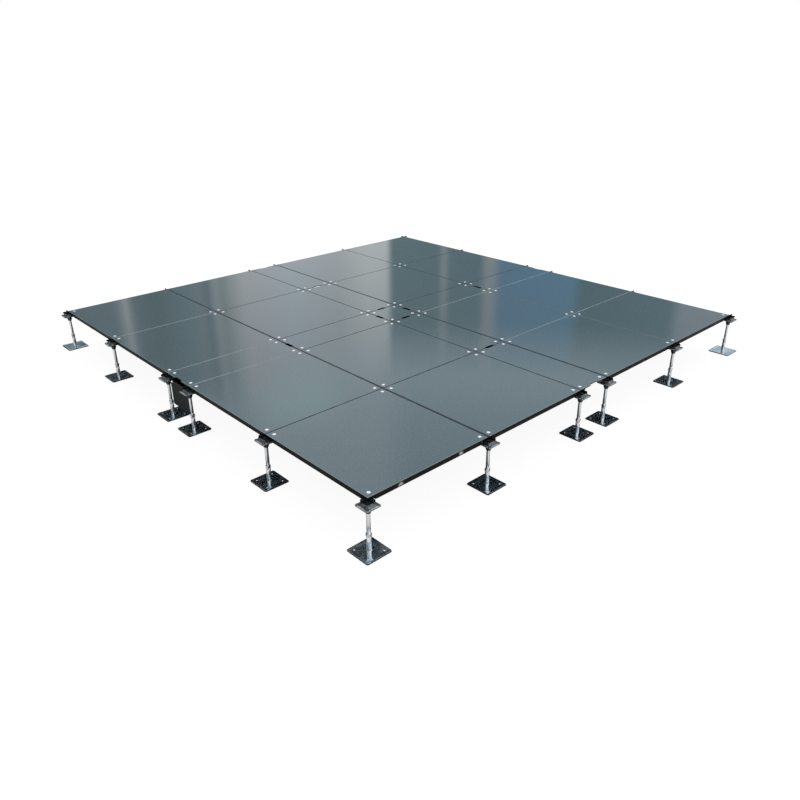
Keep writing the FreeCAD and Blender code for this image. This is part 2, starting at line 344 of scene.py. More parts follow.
def floor_coat(name):
    """Semi-gloss textured coat on the top sheet, dull dark coat on the pan below it, deepened to near black as painted
    shade.
    """
    m, nt, bs = new_material(name)
    p = coords(nt)
    xyz = nt.nodes.new("ShaderNodeSeparateXYZ")
    link(nt, p, xyz.inputs[0])
    x, y, z = xyz.outputs
    nz = nt.nodes.new("ShaderNodeSeparateXYZ")
    link(nt, nt.nodes.new("ShaderNodeNewGeometry").outputs["True Normal"], nz.inputs[0])
    nz = nz.outputs[2]
    info = nt.nodes.new("ShaderNodeObjectInfo")
    rnd = info.outputs["Random"]
    # the coat ends on the rounded edge; below it the sides get the pan's near-black painted shade
    sheet = step(nt, z, 0.20930, 0.20960)
    top = math_node(nt, "MULTIPLY", sheet, step(nt, nz, 0.55, 0.75))
    fine = noise(nt, p, 750.0, 3.0, 0.6)
    cloud = noise(nt, p, 2.2, 3.0, 0.55)
    c = mix_color(nt, step(nt, fine, 0.30, 0.70), (0.078, 0.1165, 0.1360), (0.0975, 0.1395, 0.1610))
    c = mix_color(nt, math_node(nt, "MULTIPLY", cloud, 0.16), c, (0.105, 0.142, 0.158))
    c = mix_color(nt, math_node(nt, "MULTIPLY", rnd, 0.16), c, (0.075, 0.111, 0.131))
    # faint dust
    dust = noise(nt, stretch(nt, p, (7.0, 4.0, 7.0)), 1.0, 6.0, 0.7, 0.6)
    c = mix_color(nt, math_node(nt, "MULTIPLY", step(nt, dust, 0.52, 0.80), 0.10), c, (0.15, 0.18, 0.195))
    grain = noise(nt, p, 170.0, 2.0, 0.6)
    c = mix_color(nt, math_node(nt, "MULTIPLY", step(nt, grain, 0.50, 0.70), 0.85), c, (0.130, 0.174, 0.188))
    c = mix_color(nt, math_node(nt, "MULTIPLY", step(nt, grain, 0.50, 0.30), 0.85), c, (0.060, 0.092, 0.110))
    hue = noise(nt, p, 75.0, 2.0, 0.6)
    c = mix_color(nt, math_node(nt, "MULTIPLY", step(nt, hue, 0.52, 0.68), 0.85), c, (0.114, 0.119, 0.140))
    c = mix_color(nt, math_node(nt, "MULTIPLY", step(nt, hue, 0.48, 0.32), 0.85), c, (0.069, 0.130, 0.134))
    # rounded edge: a pale painted highlight, with a weaker one along the outside of the deck
    ax = math_node(nt, "ABSOLUTE", x)
    ay = math_node(nt, "ABSOLUTE", y)
    rim = step(nt, math_node(nt, "MAXIMUM", ax, ay), 1.2950, 1.2972)
    edge = step(nt, nz, 0.985, 0.90)
    c = mix_color(nt, math_node(nt, "MULTIPLY", math_node(nt, "MAXIMUM", edge, math_node(nt, "MULTIPLY", rim, 0.45)), 0.85), c,
                  (0.29, 0.325, 0.32))
    # painted shade along the seams, heaviest on two of those that run along Y
    wob = noise(nt, p, 26.0, 4.0, 0.6)
    dx = near_line(nt, x, (0.1, 0.7))
    dy = near_line(nt, y, (0.1, 0.7))

    def at(v, line):
        return math_node(nt, "COMPARE", v, line, 0.02)
    strong = math_node(nt, "MAXIMUM", at(x, 0.1), at(x, -0.7))
    wide = mix_value(nt, strong, 0.0040, 0.0076)
    wide = math_node(nt, "MULTIPLY", wide, math_node(nt, "ADD", wob, 0.5))
    gx = math_node(nt, "SUBTRACT", 1.0, math_node(nt, "DIVIDE", dx, wide), clamp=True)
    gy = math_node(nt, "SUBTRACT", 1.0, math_node(nt, "DIVIDE", dy, math_node(nt, "MULTIPLY", wob, 0.0078)), clamp=True)
    gx = math_node(nt, "POWER", gx, 0.35)
    gy = math_node(nt, "MULTIPLY", math_node(nt, "POWER", gy, 0.35), 0.92)
    seam_shade = math_node(nt, "MAXIMUM", gx, gy)
    c = mix_color(nt, math_node(nt, "MULTIPLY", seam_shade, 0.93), c, (0.009, 0.014, 0.018))
    # pale painted highlights along some of the seams
    left = step(nt, x, -0.67, -0.73)
    right = step(nt, x, 0.07, 0.13)
    seam_highlight_y = math_node(nt, "MAXIMUM",
                       math_node(nt, "MULTIPLY", left, math_node(nt, "MAXIMUM", at(ay, 0.1), at(y, 0.7))),
                       math_node(nt, "MULTIPLY", right, math_node(nt, "MAXIMUM", at(y, -0.1), at(y, -0.7))))
    seam_highlight_y = math_node(nt, "MULTIPLY", seam_highlight_y, step(nt, dy, 0.0042, 0.0030))
    seam_highlight_x = math_node(nt, "MULTIPLY", at(x, 0.7), step(nt, y, 0.05, -0.15))
    seam_highlight_x = math_node(nt, "MULTIPLY", seam_highlight_x, math_node(nt, "MULTIPLY", step(nt, dx, 0.0036, 0.0026), 0.55))
    seam_highlight = math_node(nt, "MAXIMUM", seam_highlight_y, seam_highlight_x)
    seam_highlight = math_node(nt, "MULTIPLY", seam_highlight, math_node(nt, "ADD", math_node(nt, "MULTIPLY", wob, 0.5), 0.62), clamp=True)
    bright = mix_color(nt, step(nt, fine, 0.3, 0.7), (0.25, 0.31, 0.32), (0.33, 0.39, 0.40))
    bright = mix_color(nt, left, bright, (0.300, 0.345, 0.360))
    c = mix_color(nt, seam_highlight, c, bright)
    # pan: its dark coat deepened to near black as painted shade, with paler wear on the folded bottom edge
    mott = noise(nt, p, 60.0, 4.0, 0.6)
    pan = mix_color(nt, step(nt, mott, 0.35, 0.75), (0.0026, 0.0038, 0.0043), (0.0070, 0.0095, 0.0100))
    chip = noise(nt, stretch(nt, p, (1.0, 1.0, 2.5)), 140.0, 3.0, 0.65)
    pan = mix_color(nt, math_node(nt, "MULTIPLY", step(nt, chip, 0.66, 0.74), 0.30), pan, (0.036, 0.042, 0.042))
    # the pan's bottom is left paler than its painted-shade sides
    belly = mix_color(nt, step(nt, mott, 0.35, 0.75), (0.150, 0.185, 0.205), (0.205, 0.240, 0.260))
    pan = mix_color(nt, step(nt, nz, -0.80, -0.95), pan, belly)
    # shaded groove under the lip
    under = math_node(nt, "MULTIPLY", step(nt, z, 0.2055, 0.2090), 0.8)
    pan = mix_color(nt, under, pan, (0.003, 0.004, 0.0045))
    # the painted seam highlight carries down over the top sheet's edge
    pan = mix_color(nt, math_node(nt, "MULTIPLY", sheet, seam_highlight), pan, bright)
    # cement in the filling plugs, with some smeared past the hole
    crumb = noise(nt, p, 230.0, 4.0, 0.7)
    plug = math_node(nt, "COMPARE", y, -1.2958, 0.00035)
    sx = math_node(nt, "ABSOLUTE", math_node(nt, "SUBTRACT", math_node(nt, "ABSOLUTE", math_node(nt, "SUBTRACT",
                   math_node(nt, "ABSOLUTE", x), 1.0)), 0.15))
    face = math_node(nt, "COMPARE", y, -1.2968, 0.0004)
    smear = math_node(nt, "MULTIPLY", face, math_node(nt, "MULTIPLY", step(nt, sx, 0.017, 0.006), step(nt, crumb, 0.50, 0.60)))
    side_a = step(nt, x, 0.1, 0.0)
    smear = math_node(nt, "MULTIPLY", smear, side_a)
    plug = math_node(nt, "MAXIMUM", plug, smear)
    tint = mix_color(nt, side_a, (0.105, 0.060, 0.034), (0.50, 0.52, 0.49))
    tint = mix_color(nt, math_node(nt, "MULTIPLY", step(nt, crumb, 0.35, 0.7), 0.35), tint, (0.12, 0.12, 0.11))
    pan = mix_color(nt, plug, pan, tint)
    link(nt, mix_color(nt, top, pan, c), bs.inputs["Base Color"])
    r_top = mix_value(nt, step(nt, cloud, 0.3, 0.7), 0.042, 0.060)
    r_top = math_node(nt, "ADD", r_top, math_node(nt, "MULTIPLY", step(nt, dust, 0.5, 0.8), 0.03))
    r_top = mix_value(nt, math_node(nt, "MAXIMUM", math_node(nt, "MAXIMUM", seam_shade, edge), seam_highlight), r_top, 0.45)
    link(nt, mix_value(nt, top, 0.50, r_top), bs.inputs["Roughness"])
    bs.inputs["IOR"].default_value = 1.5
    link(nt, mix_value(nt, top, 0.10, 0.50), bs.inputs["Specular IOR Level"])
    # orange peel, and the slow waviness of pressed sheet
    peel = bump(nt, noise(nt, p, 420.0, 2.0, 0.5), 0.00003, 0.28)
    wave = noise(nt, p, 3.0, 2.0, 0.45)
    link(nt, bump(nt, wave, 0.00012, 1.0, peel), bs.inputs["Normal"])
    return m


def zinc(name, base, r0, r1, streak, tint=(1.0, 1.0, 1.0), stain=0.5):
    """Bright plated steel with clouded roughness, fine draw lines and stains."""
    m, nt, bs = new_material(name)
    p = coords(nt)
    lines = noise(nt, stretch(nt, p, streak), 1.0, 4.0, 0.6)
    cloud = noise(nt, p, 55.0, 4.0, 0.6, 0.4)
    spot = noise(nt, p, 230.0, 3.0, 0.65)
    lo = tuple(base * t * 0.86 for t in tint)
    hi = tuple(min(1.0, base * t * 1.05) for t in tint)
    c = mix_color(nt, step(nt, lines, 0.3, 0.7), lo, hi)
    c = mix_color(nt, math_node(nt, "MULTIPLY", step(nt, spot, 0.62, 0.78), stain), c, (0.34, 0.37, 0.39))
    link(nt, c, bs.inputs["Base Color"])
    bs.inputs["Metallic"].default_value = 1.0
    link(nt, mix_value(nt, step(nt, cloud, 0.32, 0.72), r0, r1), bs.inputs["Roughness"])
    b = bump(nt, lines, 0.000006, 0.5)
    link(nt, bump(nt, noise(nt, p, 30.0, 2.0), 0.00005, 0.5, b), bs.inputs["Normal"])
    return m


def plate_zinc(name):
    """Pressed and plated sheet: a dented mirror, dulled in clouds, painted near black on its rim as shade."""
    m, nt, bs = new_material(name)
    p = coords(nt)
    xyz = nt.nodes.new("ShaderNodeSeparateXYZ")
    link(nt, p, xyz.inputs[0])
    cloud = noise(nt, p, 26.0, 3.0, 0.5, 0.5)
    spot = noise(nt, p, 110.0, 2.0, 0.5)
    far = [step(nt, math_node(nt, "ABSOLUTE", xyz.outputs[k]), 1.20, 1.23) for k in (0, 1)]
    corner = math_node(nt, "MULTIPLY", far[0], far[1])
    c = mix_color(nt, step(nt, cloud, 0.36, 0.66), (0.56, 0.66, 0.74), (0.80, 0.87, 0.92))
    c = mix_color(nt, math_node(nt, "MULTIPLY", step(nt, spot, 0.60, 0.75), 0.25), c, (0.30, 0.34, 0.37))
    # the rim, painted near black as shade where the plate meets the floor
    rim = step(nt, xyz.outputs[2], 0.00505, 0.0046)
    c = mix_color(nt, rim, c, (0.012, 0.014, 0.016))
    link(nt, c, bs.inputs["Base Color"])
    dull = mix_value(nt, corner, 1.0, mix_value(nt, step(nt, cloud, 0.36, 0.66), 0.97, 0.88))
    link(nt, mix_value(nt, rim, dull, 0.2), bs.inputs["Metallic"])
    rough = mix_value(nt, step(nt, cloud, 0.34, 0.70), 0.05, 0.15)
    link(nt, mix_value(nt, rim, rough, 0.6), bs.inputs["Roughness"])
    link(nt, bump(nt, noise(nt, p, 21.0, 2.0, 0.5), 0.00060, 1.0), bs.inputs["Normal"])
    return m


def cast_head(name):
    """Plated die-cast grey with a sandy grain, painted shade on the socket and the rim's side, and a painted highlight
    on the rim's arris.
    """
    m, nt, bs = new_material(name)
    p = coords(nt)
    grain = noise(nt, p, 700.0, 3.0, 0.65)
    patch = noise(nt, p, 105.0, 4.0, 0.62)
    c = mix_color(nt, step(nt, patch, 0.34, 0.68), (0.088, 0.099, 0.103), (0.245, 0.258, 0.262))
    c = mix_color(nt, math_node(nt, "MULTIPLY", step(nt, grain, 0.55, 0.8), 0.35), c, (0.060, 0.066, 0.070))
    # painted highlight on the upper arris of the rim, and painted shade below it
    xyz = nt.nodes.new("ShaderNodeSeparateXYZ")
    link(nt, p, xyz.inputs[0])
    # the socket and the side of the rim are painted dark as shade
    rim_underside_shade = math_node(nt, "MAXIMUM", step(nt, xyz.outputs[2], 0.1815, 0.1805), math_node(nt, "MULTIPLY",
                     step(nt, xyz.outputs[2], 0.1818, 0.1822), step(nt, xyz.outputs[2], 0.1850, 0.1844)))
    c = mix_color(nt, math_node(nt, "MULTIPLY", rim_underside_shade, 0.85), c, (0.036, 0.041, 0.044))
    # the pale band on the upper arris is a painted highlight
    arris_highlight = math_node(nt, "MULTIPLY", step(nt, xyz.outputs[2], 0.18480, 0.18540), step(nt, xyz.outputs[2], 0.18720, 0.18640))
    c = mix_color(nt, math_node(nt, "MULTIPLY", arris_highlight, 0.75), c, (0.58, 0.60, 0.61))
    link(nt, c, bs.inputs["Base Color"])
    bs.inputs["Metallic"].default_value = 0.9
    link(nt, mix_value(nt, patch, 0.24, 0.42), bs.inputs["Roughness"])
    link(nt, bump(nt, grain, 0.00010, 0.6), bs.inputs["Normal"])
    return m


def black_plastic(name):
    m, nt, bs = new_material(name)
    p = coords(nt)
    g = noise(nt, p, 900.0, 2.0, 0.6)
    d = noise(nt, p, 40.0, 3.0, 0.6)
    c = mix_color(nt, step(nt, d, 0.35, 0.75), (0.0012, 0.0013, 0.0014), (0.0035, 0.0037, 0.0039))
    link(nt, c, bs.inputs["Base Color"])
    link(nt, mix_value(nt, d, 0.42, 0.62), bs.inputs["Roughness"])
    bs.inputs["Specular IOR Level"].default_value = 0.12
    link(nt, bump(nt, g, 0.00008, 0.5), bs.inputs["Normal"])
    return m


def screw_metal(name):
    m, nt, bs = new_material(name)
    p = coords(nt)
    g = noise(nt, p, 1200.0, 3.0, 0.6)
    d = noise(nt, p, 180.0, 3.0, 0.6)
    # near white and mostly diffuse: bright nickel with its glint painted in as a highlight
    c = mix_color(nt, step(nt, d, 0.3, 0.75), (1.0, 1.0, 0.99), (0.93, 0.94, 0.94))
    # those along the +X and +Y sides of the deck are dark
    xyz = nt.nodes.new("ShaderNodeSeparateXYZ")
    link(nt, p, xyz.inputs[0])
    sides = [math_node(nt, "MULTIPLY", step(nt, xyz.outputs[a], 1.22, 1.24), step(nt, xyz.outputs[b], -1.24, -1.22))
             for a, b in ((0, 1), (1, 0))]
    c = mix_color(nt, math_node(nt, "MULTIPLY", math_node(nt, "MAXIMUM", sides[0], sides[1]), 0.93), c, (0.030, 0.036, 0.038))
    link(nt, c, bs.inputs["Base Color"])
    bs.inputs["Metallic"].default_value = 0.18
    link(nt, mix_value(nt, g, 0.30, 0.48), bs.inputs["Roughness"])
    link(nt, bump(nt, g, 0.00005, 0.4), bs.inputs["Normal"])
    return m


def trough_coat(name):
    m, nt, bs = new_material(name)
    p = coords(nt)
    g = noise(nt, p, 600.0, 3.0, 0.6)
    d = noise(nt, p, 18.0, 4.0, 0.6)
    streak = noise(nt, stretch(nt, p, (3.0, 3.0, 45.0)), 1.0, 4.0, 0.6)
    c = mix_color(nt, step(nt, d, 0.3, 0.75), (0.0036, 0.0045, 0.0045), (0.0078, 0.0091, 0.0090))
    c = mix_color(nt, math_node(nt, "MULTIPLY", step(nt, streak, 0.55, 0.8), 0.3), c, (0.028, 0.032, 0.031))
    link(nt, c, bs.inputs["Base Color"])
    link(nt, mix_value(nt, d, 0.42, 0.58), bs.inputs["Roughness"])
    bs.inputs["Specular IOR Level"].default_value = 0.13
    link(nt, bump(nt, g, 0.00006, 0.5), bs.inputs["Normal"])
    return m


COAT = floor_coat("floor_coat")
PLATE = plate_zinc("plate_zinc")
STEM = zinc("stem_zinc", 0.86, 0.05, 0.12, (420.0, 420.0, 14.0), (0.96, 1.0, 1.03), 0.2)
NUT = zinc("nut_zinc", 0.82, 0.10, 0.20, (60.0, 60.0, 500.0), (0.98, 1.0, 1.02), 0.5)
TUBE = zinc("tube_zinc", 0.90, 0.06, 0.15, (420.0, 420.0, 14.0), (0.98, 1.0, 1.02), 0.2)
HEAD = cast_head("head_cast")
BLACK = black_plastic("cap_black")
SCREW = screw_metal("screw_nickel")
TROUGH = trough_coat("trough_dark")


def dress(node, material):
    me = NODES[node].data
    me.materials.clear()
    me.materials.append(material)


for name in NODES:
    if name.startswith(("panel_", "trough_cover", "strip_cover", "cross_cover")) and name != "panel_screws":
        dress(name, COAT)
    elif name in ("cable_trough", "trough_end_left", "trough_end_right"):
        dress(name, TROUGH)

# ---------------------------------------------------------------- base plates
rng = random.Random(7)
sh = Shell()
loops = [square(53.5, 5.5, 2.5), square(53.5, 5.5, 0.4), square(53.8, 5.8, 0.0),
         square(55.6, 7.6, 0.0), square(56.0, 8.0, 0.4), square(56.0, 8.0, 2.6)]
for k in range(1, 7):
    t = math.radians(15 * k)
    loops.append(square(56.0 - 2.4 * (1 - math.cos(t)), 8.0 - 2.4 * (1 - math.cos(t)), 2.6 + 2.4 * math.sin(t)))
# raised bead pressed in along the rim
loops += [square(51.4, 5.0, 5.0), square(50.6, 4.8, 5.12), square(49.8, 4.6, 5.34), square(49.0, 4.4, 5.42),
          square(48.2, 4.2, 5.34), square(47.4, 4.0, 5.12), square(46.6, 3.8, 5.0)]
rings = sh.loft(loops)
rim_under, rim_top = rings[0], rings[-1]
holes_top, holes_low = [], []
for sx in (-1, 1):
    for sy in (-1, 1):
        a = sh.add(circle(4.1, 5.0, 20, 36.0 * sx, 36.0 * sy))
        b = sh.add(circle(3.5, 4.5, 20, 36.0 * sx, 36.0 * sy))
        c = sh.add(circle(3.5, 2.5, 20, 36.0 * sx, 36.0 * sy))
        sh.bridge(a, b)
        sh.bridge(b, c)
        holes_top.append(a)
        holes_low.append(c)
centre = lathe(sh, [(23.4, 5.0), (22.6, 5.05), (19.9, 5.60), (19.2, 5.75), (18.4, 5.8), (9.6, 5.8), (9.05, 5.4),
                    (9.05, 3.3), (17.0, 3.3), (21.5, 2.5)], 40)
sh.fill(rim_top, holes_top + [centre[0]], up=True)
sh.fill(rim_under, holes_low + [centre[-1]], up=False)
piece("base_plate_set", sh, GRID, "base", "base_plates", PLATE, 30.0)

# ---------------------------------------------------------------- threaded stems
sh = Shell()
PITCH, SEG = 2.0, 18
z0, z1 = 41.0, 81.0
turns_n = int((z1 - z0) / PITCH)
CORE = 6.35
prof = [(CORE, 0.0), (7.15, 0.72), (7.15, 1.16), (CORE, 1.88)]
rows = []
total = turns_n * SEG
for k in range(total + 1):
    a = 2 * math.pi * k / SEG
    zc = z0 + PITCH * k / SEG
    fade = min(1.0, k / (SEG * 0.6), (total - k) / (SEG * 0.6))
    rows.append(sh.add([((CORE + (r - CORE) * fade) * math.cos(a), (CORE + (r - CORE) * fade) * math.sin(a), zc + dz)
                        for r, dz in prof]))
for k in range(total):
    for j in range(3):
        sh.f.append((rows[k][j], rows[k + 1][j], rows[k + 1][j + 1], rows[k][j + 1]))
    if k + SEG <= total:
        # root between one turn and the next
        n0 = rows[k + SEG][0]
        n1 = rows[min(k + SEG + 1, total)][0]
        if n1 != n0:
            sh.f.append((rows[k][3], rows[k + 1][3], n1, n0))
lathe(sh, [(0, 40.0), (5.4, 40.0), (CORE - 0.01, 41.2), (CORE - 0.01, 81.0), (6.7, 81.5), (7.2, 82.3), (7.2, 130.0),
           (7.2, HEAD_Z + 2.0), (0, HEAD_Z + 2.0)], 40)
lean = [rng.uniform(0, 2 * math.pi) for _ in GRID]
piece("threaded_stem_set", sh, GRID, "deck", "threaded_stems", STEM, 42.0, lean)

# ---------------------------------------------------------------- levelling nuts
sh = Shell()
AF, NZ, NT = 19.0, 64.0, 10.0


def hex_ring(z, n=72):
    pts = []
    allow = AF / 2 - 0.4 + min(z - NZ, NZ + NT - z) / 0.577
    for k in range(n):
        a = 2 * math.pi * k / n
        d = (math.degrees(a) + 30.0) % 60.0 - 30.0
        r = min(AF / 2 / math.cos(math.radians(d)), allow, 11.15)
        pts.append((r * math.cos(a), r * math.sin(a), z))
    return pts


zs = [NZ + t for t in (0, 0.2, 0.5, 0.8, 1.1, 1.4)] + [NZ + NT - t for t in (1.4, 1.1, 0.8, 0.5, 0.2, 0)]
rings = sh.loft([circle(7.3, NZ + 0.8, 72), circle(8.0, NZ, 72)] + [hex_ring(z) for z in zs]
                + [circle(8.0, NZ + NT, 72), circle(7.3, NZ + NT - 0.8, 72)])
sh.bridge(rings[-1], rings[0])
piece("levelling_nut_set", sh, GRID, "base", "levelling_nuts", NUT, 32.0,
      [rng.uniform(0, math.pi / 3) for _ in GRID])

# ---------------------------------------------------------------- tubes
sh = Shell()
# flange under the pressed centre, weld bead above it, chamfered mouth
lathe(sh, [(7.6, 63.4), (7.6, 1.3), (8.1, 0.8), (11.6, 0.8), (12.0, 1.2), (12.0, 2.9), (11.6, 3.3), (9.0, 3.3), (9.0, 5.8),
           (10.2, 5.8), (10.1, 6.1), (9.6, 6.6), (9.2, 7.0), (9.0, 7.6), (9.0, 36.0), (9.0, 63.4), (8.5, 64.0),
           (8.1, 64.0), (7.6, 63.4)], 40)
piece("pedestal_tube_set", sh, GRID, "base", "pedestal_tubes", TUBE, 40.0)

# ---------------------------------------------------------------- heads
sh = Shell()
loops = [square(31.2, 4.2, HEAD_Z), square(31.76, 4.76, HEAD_Z + 0.23), square(32.0, 5.0, HEAD_Z + 0.8),
         square(32.0, 5.0, HEAD_Z + 3.2), square(31.76, 4.76, HEAD_Z + 3.77), square(31.2, 4.2, HEAD_Z + 4.0),
         square(29.8, 3.4, HEAD_Z + 4.05)]
rings = sh.loft(loops)
sh.cap(rings[-1])


def ribbed(h, d, z, w=4.4):
    """Square of half side h with a rib on each corner and its sides sunk by d between them."""
    q = [(h - d, h - w - d), (h, h - w), (h - w, h), (h - w - d, h - d)]
    pts = []
    for k in range(4):
        c, s = round(math.cos(k * math.pi / 2)), round(math.sin(k * math.pi / 2))
        pts += [(c * x - s * y, s * x + c * y, z) for x, y in q]
    return pts


# hipped hub: a hollow curve from the rim up to the cap, ribbed along its hips
hub = sh.loft([ribbed(30.6, 0.3, HEAD_Z + 3.4), ribbed(29.0, 0.5, HEAD_Z + 4.4), ribbed(26.6, 1.1, HEAD_Z + 5.2),
               ribbed(24.5, 1.5, HEAD_Z + 5.8, 6.2), ribbed(24.0, 1.8, HEAD_Z + 6.4, 5.9), ribbed(23.4, 2.1, HEAD_Z + 7.6, 5.2),
               ribbed(22.8, 2.3, HEAD_Z + 8.8, 4.7), ribbed(22.1, 2.5, HEAD_Z + 10.2),
               ribbed(21.1, 2.5, HEAD_Z + 12.3), ribbed(20.4, 2.3, HEAD_Z + 14.6), ribbed(19.9, 2.0, HUB_Z - 0.8),
               ribbed(19.3, 1.4, HUB_Z)])
sh.cap(hub[-1])
lows = []
for sx in (-1, 1):
    for sy in (-1, 1):
        x, y = INSET * sx, INSET * sy
        # round seat with its screw hole
        pad = sh.loft([circle(6.5, HEAD_Z + 3.0, 24, x, y), circle(6.5, PAN_Z - 0.5, 24, x, y), circle(6.2, PAN_Z - 0.12, 24, x, y),
                       circle(5.8, PAN_Z, 24, x, y), circle(3.6, PAN_Z, 24, x, y), circle(3.05, PAN_Z - 0.6, 24, x, y),
                       circle(3.05, HEAD_Z, 24, x, y)])
        lows.append(pad[-1])
# long socket for the stem, tapered at its end
collar = lathe(sh, [(7.25, HEAD_Z + 2.0), (7.25, HEAD_Z - 25.5), (7.7, HEAD_Z - 26.0), (8.8, HEAD_Z - 26.0), (9.2, HEAD_Z - 25.6),
                    (12.0, HEAD_Z - 16.0), (12.0, HEAD_Z - 1.6), (12.6, HEAD_Z - 0.4), (13.6, HEAD_Z)], 36)
sh.cap(collar[0])
sh.fill(rings[0], lows + [collar[-1]], up=False)
piece("pedestal_head_set", sh, GRID, "deck", "pedestal_heads", HEAD, 24.0)

# ---------------------------------------------------------------- locating caps
sh = Shell()
lathe(sh, [(0, HUB_Z - 7), (4.6, HUB_Z - 7), (5.0, HUB_Z - 6.6), (5.0, HUB_Z + 0.3), (0, HUB_Z + 0.3)], 28)
# block with a shallow groove round it
rings = sh.loft([square(19.3, 5.5, HUB_Z + 0.02), square(19.8, 6.0, HUB_Z + 0.5), square(19.8, 6.0, HUB_Z + 1.9),
                 square(19.4, 5.6, HUB_Z + 2.3), square(19.4, 5.6, HUB_Z + 2.9), square(19.8, 6.0, HUB_Z + 3.3),
                 square(19.8, 6.0, CAP_Z - 1.2), square(19.45, 5.65, CAP_Z - 0.35), square(18.6, 4.8, CAP_Z)])
sh.cap(rings[0], flip=True)
sh.cap(rings[-1])
for a in (0, 1):
    x, y = (30.0, 0.55) if a == 0 else (0.55, 30.0)
    slab(sh, -x, x, -y, y, CAP_Z - 2.0, FFH - 0.5, 0.2)
piece("locating_cap_set", sh, GRID, "deck", "locating_caps", BLACK, 35.0)

# ---------------------------------------------------------------- screws
sh = Shell()
TOPZ = FFH - 0.15


def cross(w, l, z):
    """Outline of a plain cross recess with arms w wide and l long."""
    q = [(l, -w), (l, w), (w, w)]
    pts = []
    for k in range(4):
        c, s = round(math.cos(k * math.pi / 2)), round(math.sin(k * math.pi / 2))
        pts += [(c * x - s * y, s * x + c * y, z) for x, y in q]
    return pts


# raised countersunk head
RISE = TOPZ + 0.95
body = lathe(sh, [(0, HEAD_Z - 2), (1.9, HEAD_Z - 2), (2.95, HEAD_Z - 1), (2.95, TOPZ - 4.3), (6.95, TOPZ - 0.30), (7.24, TOPZ - 0.10),
                  (7.20, TOPZ + 0.15), (6.75, TOPZ + 0.48), (5.9, TOPZ + 0.74), (4.9, TOPZ + 0.90), (3.9, RISE)], 28)
c0 = sh.add(cross(0.60, 2.7, RISE))
c1 = sh.add(cross(0.50, 2.3, RISE - 0.8))
c2 = sh.add(cross(0.34, 1.00, RISE - 2.2))
sh.fill(body[-1], [c0], up=True)
sh.bridge(c0, c1)
sh.bridge(c1, c2)
sh.cap(c2)
spots = []
for xa, xb in zip(G[:-1], G[1:]):
    for ya, yb in zip(G[:-1], G[1:]):
        spots += [(x, y) for x in (xa + INSET, xb - INSET) for y in (ya + INSET, yb - INSET)]
piece("panel_screw_set", sh, spots, "deck", "panel_screws", SCREW, 34.0,
      [rng.uniform(0, math.pi / 2) for _ in spots])

# ---------------------------------------------------------------- rivets
sh = Shell()
for sx in (-1, 1):
    for sy in (-1, 1):
        t = Shell()
        lathe(t, [(0, -5.6), (2.6, -5.6), (3.2, -5.0), (3.2, -2.4), (2.8, -2.0), (2.0, -2.0), (2.0, 2.0), (3.9, 2.0),
                  (4.2, 2.25), (4.1, 2.8), (3.3, 3.5), (1.8, 3.85), (1.2, 3.9), (1.1, 3.6), (0, 3.6)], 20)
        ids = sh.add([(sx * 1284.0 + p[0], sy * (60.0 + p[2]), 168.0 - sy * p[1]) for p in t.v])
        sh.f += [tuple(ids[i] for i in f) for f in t.f]
piece("trough_rivet_set", sh, [(0.0, 0.0)], "deck", "trough_rivets", STEM, 30.0)

# ---------------------------------------------------------------- camera
fwd = Vector((0.61019587, 0.66108438, -0.43661017)).normalized()
rt = Vector((0.73266643, -0.68055692, -0.0064944))
up = rt.cross(fwd).normalized()
rt = fwd.cross(up).normalized()
cam_data = bpy.data.cameras.new("camera")
cam_data.sensor_fit = "HORIZONTAL"
cam_data.sensor_width = 36.0
cam_data.lens = 32.217
cam_data.clip_end = 200.0
cam = bpy.data.objects.new("camera", cam_data)
m = Matrix((rt, up, -fwd)).transposed().to_4x4()
m.translation = Vector((-2.54439, -2.80624, 1.51239))
cam.matrix_world = m
scene.collection.objects.link(cam)
scene.camera = cam

# ---------------------------------------------------------------- floor
me = bpy.data.meshes.new("studio_floor")
S = 60.0
me.from_pydata([(-S, -S, -0.0004), (S, -S, -0.0004), (S, S, -0.0004), (-S, S, -0.0004)], [], [(0, 1, 2, 3)])
floor = bpy.data.objects.new("studio_floor", me)
scene.collection.objects.link(floor)
fm = bpy.data.materials.new("studio_floor")
fm.use_nodes = True
nt = fm.node_tree
nt.nodes.clear()
out = nt.nodes.new("ShaderNodeOutputMaterial")
add = nt.nodes.new("ShaderNodeAddShader")
em = nt.nodes.new("ShaderNodeEmission")
em.inputs["Color"].default_value = (1.0, 1.0, 1.0, 1.0)
df = nt.nodes.new("ShaderNodeBsdfDiffuse")
df.inputs["Color"].default_value = (0.10, 0.10, 0.10, 1.0)
link(nt, em.outputs[0], add.inputs[0])
link(nt, df.outputs[0], add.inputs[1])
plain = nt.nodes.new("ShaderNodeBsdfDiffuse")
# the glow of the pale floor ends well inside the deck's shadow
fx = nt.nodes.new("ShaderNodeSeparateXYZ")
link(nt, coords(nt), fx.inputs[0])
deep = math_node(nt, "MAXIMUM", math_node(nt, "ABSOLUTE", fx.outputs[0]), math_node(nt, "ABSOLUTE", fx.outputs[1]))
link(nt, math_node(nt, "MULTIPLY", step(nt, deep, 0.55, 0.85), 0.93), em.inputs["Strength"])
# painted shadow: away from camera rays the floor is dark under the deck, so it throws little light back there
link(nt, mix_color(nt, step(nt, deep, 1.33, 1.40), (0.02, 0.02, 0.02), (0.80, 0.80, 0.80)), plain.inputs["Color"])
